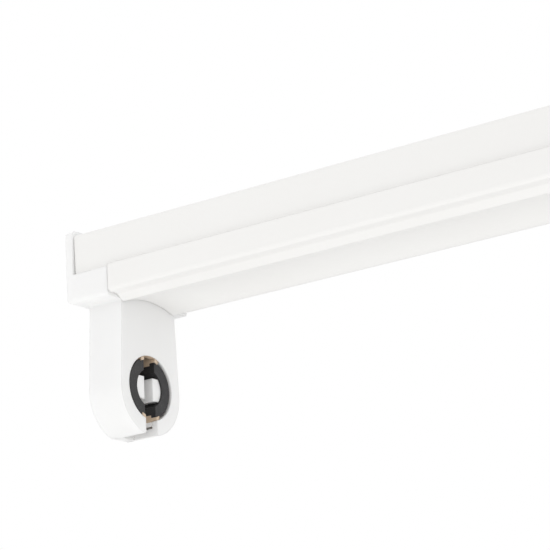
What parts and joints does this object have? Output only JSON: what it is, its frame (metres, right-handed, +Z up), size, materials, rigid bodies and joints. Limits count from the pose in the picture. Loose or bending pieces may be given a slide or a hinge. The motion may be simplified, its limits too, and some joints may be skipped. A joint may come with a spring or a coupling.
{
  "type": "linear light fixture",
  "caption": "Open ceiling batten for one straight tube lamp: a folded channel, a ridged clip-on cover and an end cap with a turning lampholder at each end.",
  "frame": {"origin": "on the ceiling plane, midway between the two screw slots, which is the middle of the fixture in plan", "axes": "+X along the fixture; +Y across it; +Z up, into the ceiling. The fixture and its lamp hang towards -Z."},
  "size_m": [0.6194, 0.0328, 0.0545],
  "materials": {
    "white_steel": "satin white stove enamel",
    "white_plastic": "moulded, semi-gloss white",
    "black_plastic": "moulded, fine matt charcoal",
    "tan_plastic": "moulded, matt light brown",
    "bronze": "rolled phosphor bronze",
    "brass": "drawn brass tube",
    "zinc_steel": "bright zinc plate",
    "spring_steel": "tempered spring steel",
    "block_plastic": "moulded, natural",
    "wire_brown": "brown insulation",
    "wire_blue": "light blue insulation",
    "wire_green": "green and yellow insulation",
    "grommet_rubber": "matt black rubber"
  },
  "bodies": {
    "fixture": {"base_channel": "white_steel", "cover": "white_steel", "end_cap_left": "white_plastic", "end_cap_right": "white_plastic", "holder_back_left": "white_plastic", "holder_back_right": "white_plastic", "contact_near_left": "bronze", "contact_far_left": "bronze", "contact_near_right": "bronze", "contact_far_right": "bronze", "cap_screws": "zinc_steel", "cover_clip_left": "spring_steel", "cover_clip_right": "spring_steel", "clip_rivets": "zinc_steel", "terminal_block": "block_plastic", "terminal_clamps": "brass", "terminal_screws": "zinc_steel", "block_screw": "zinc_steel", "live_wire": "wire_brown", "neutral_wire": "wire_blue", "earth_wire": "wire_green", "earth_ring": "zinc_steel", "earth_screw": "zinc_steel", "cable_grommet": "grommet_rubber"},
    "rotor_left": {"rotor_left": "black_plastic", "rotor_carrier_left": "tan_plastic"},
    "rotor_right": {"rotor_right": "black_plastic", "rotor_carrier_right": "tan_plastic"}
  },
  "joints": [
    {"name": "rotor_left_turn", "type": "hinge", "parent": "fixture", "child": "rotor_left", "pos_m": [-0.3, 0, -0.0422], "axis": [1, 0, 0], "range_deg": [-90, 90]},
    {"name": "rotor_right_turn", "type": "hinge", "parent": "fixture", "child": "rotor_right", "pos_m": [0.3, 0, -0.0422], "axis": [1, 0, 0], "range_deg": [-90, 90]}
  ]
}
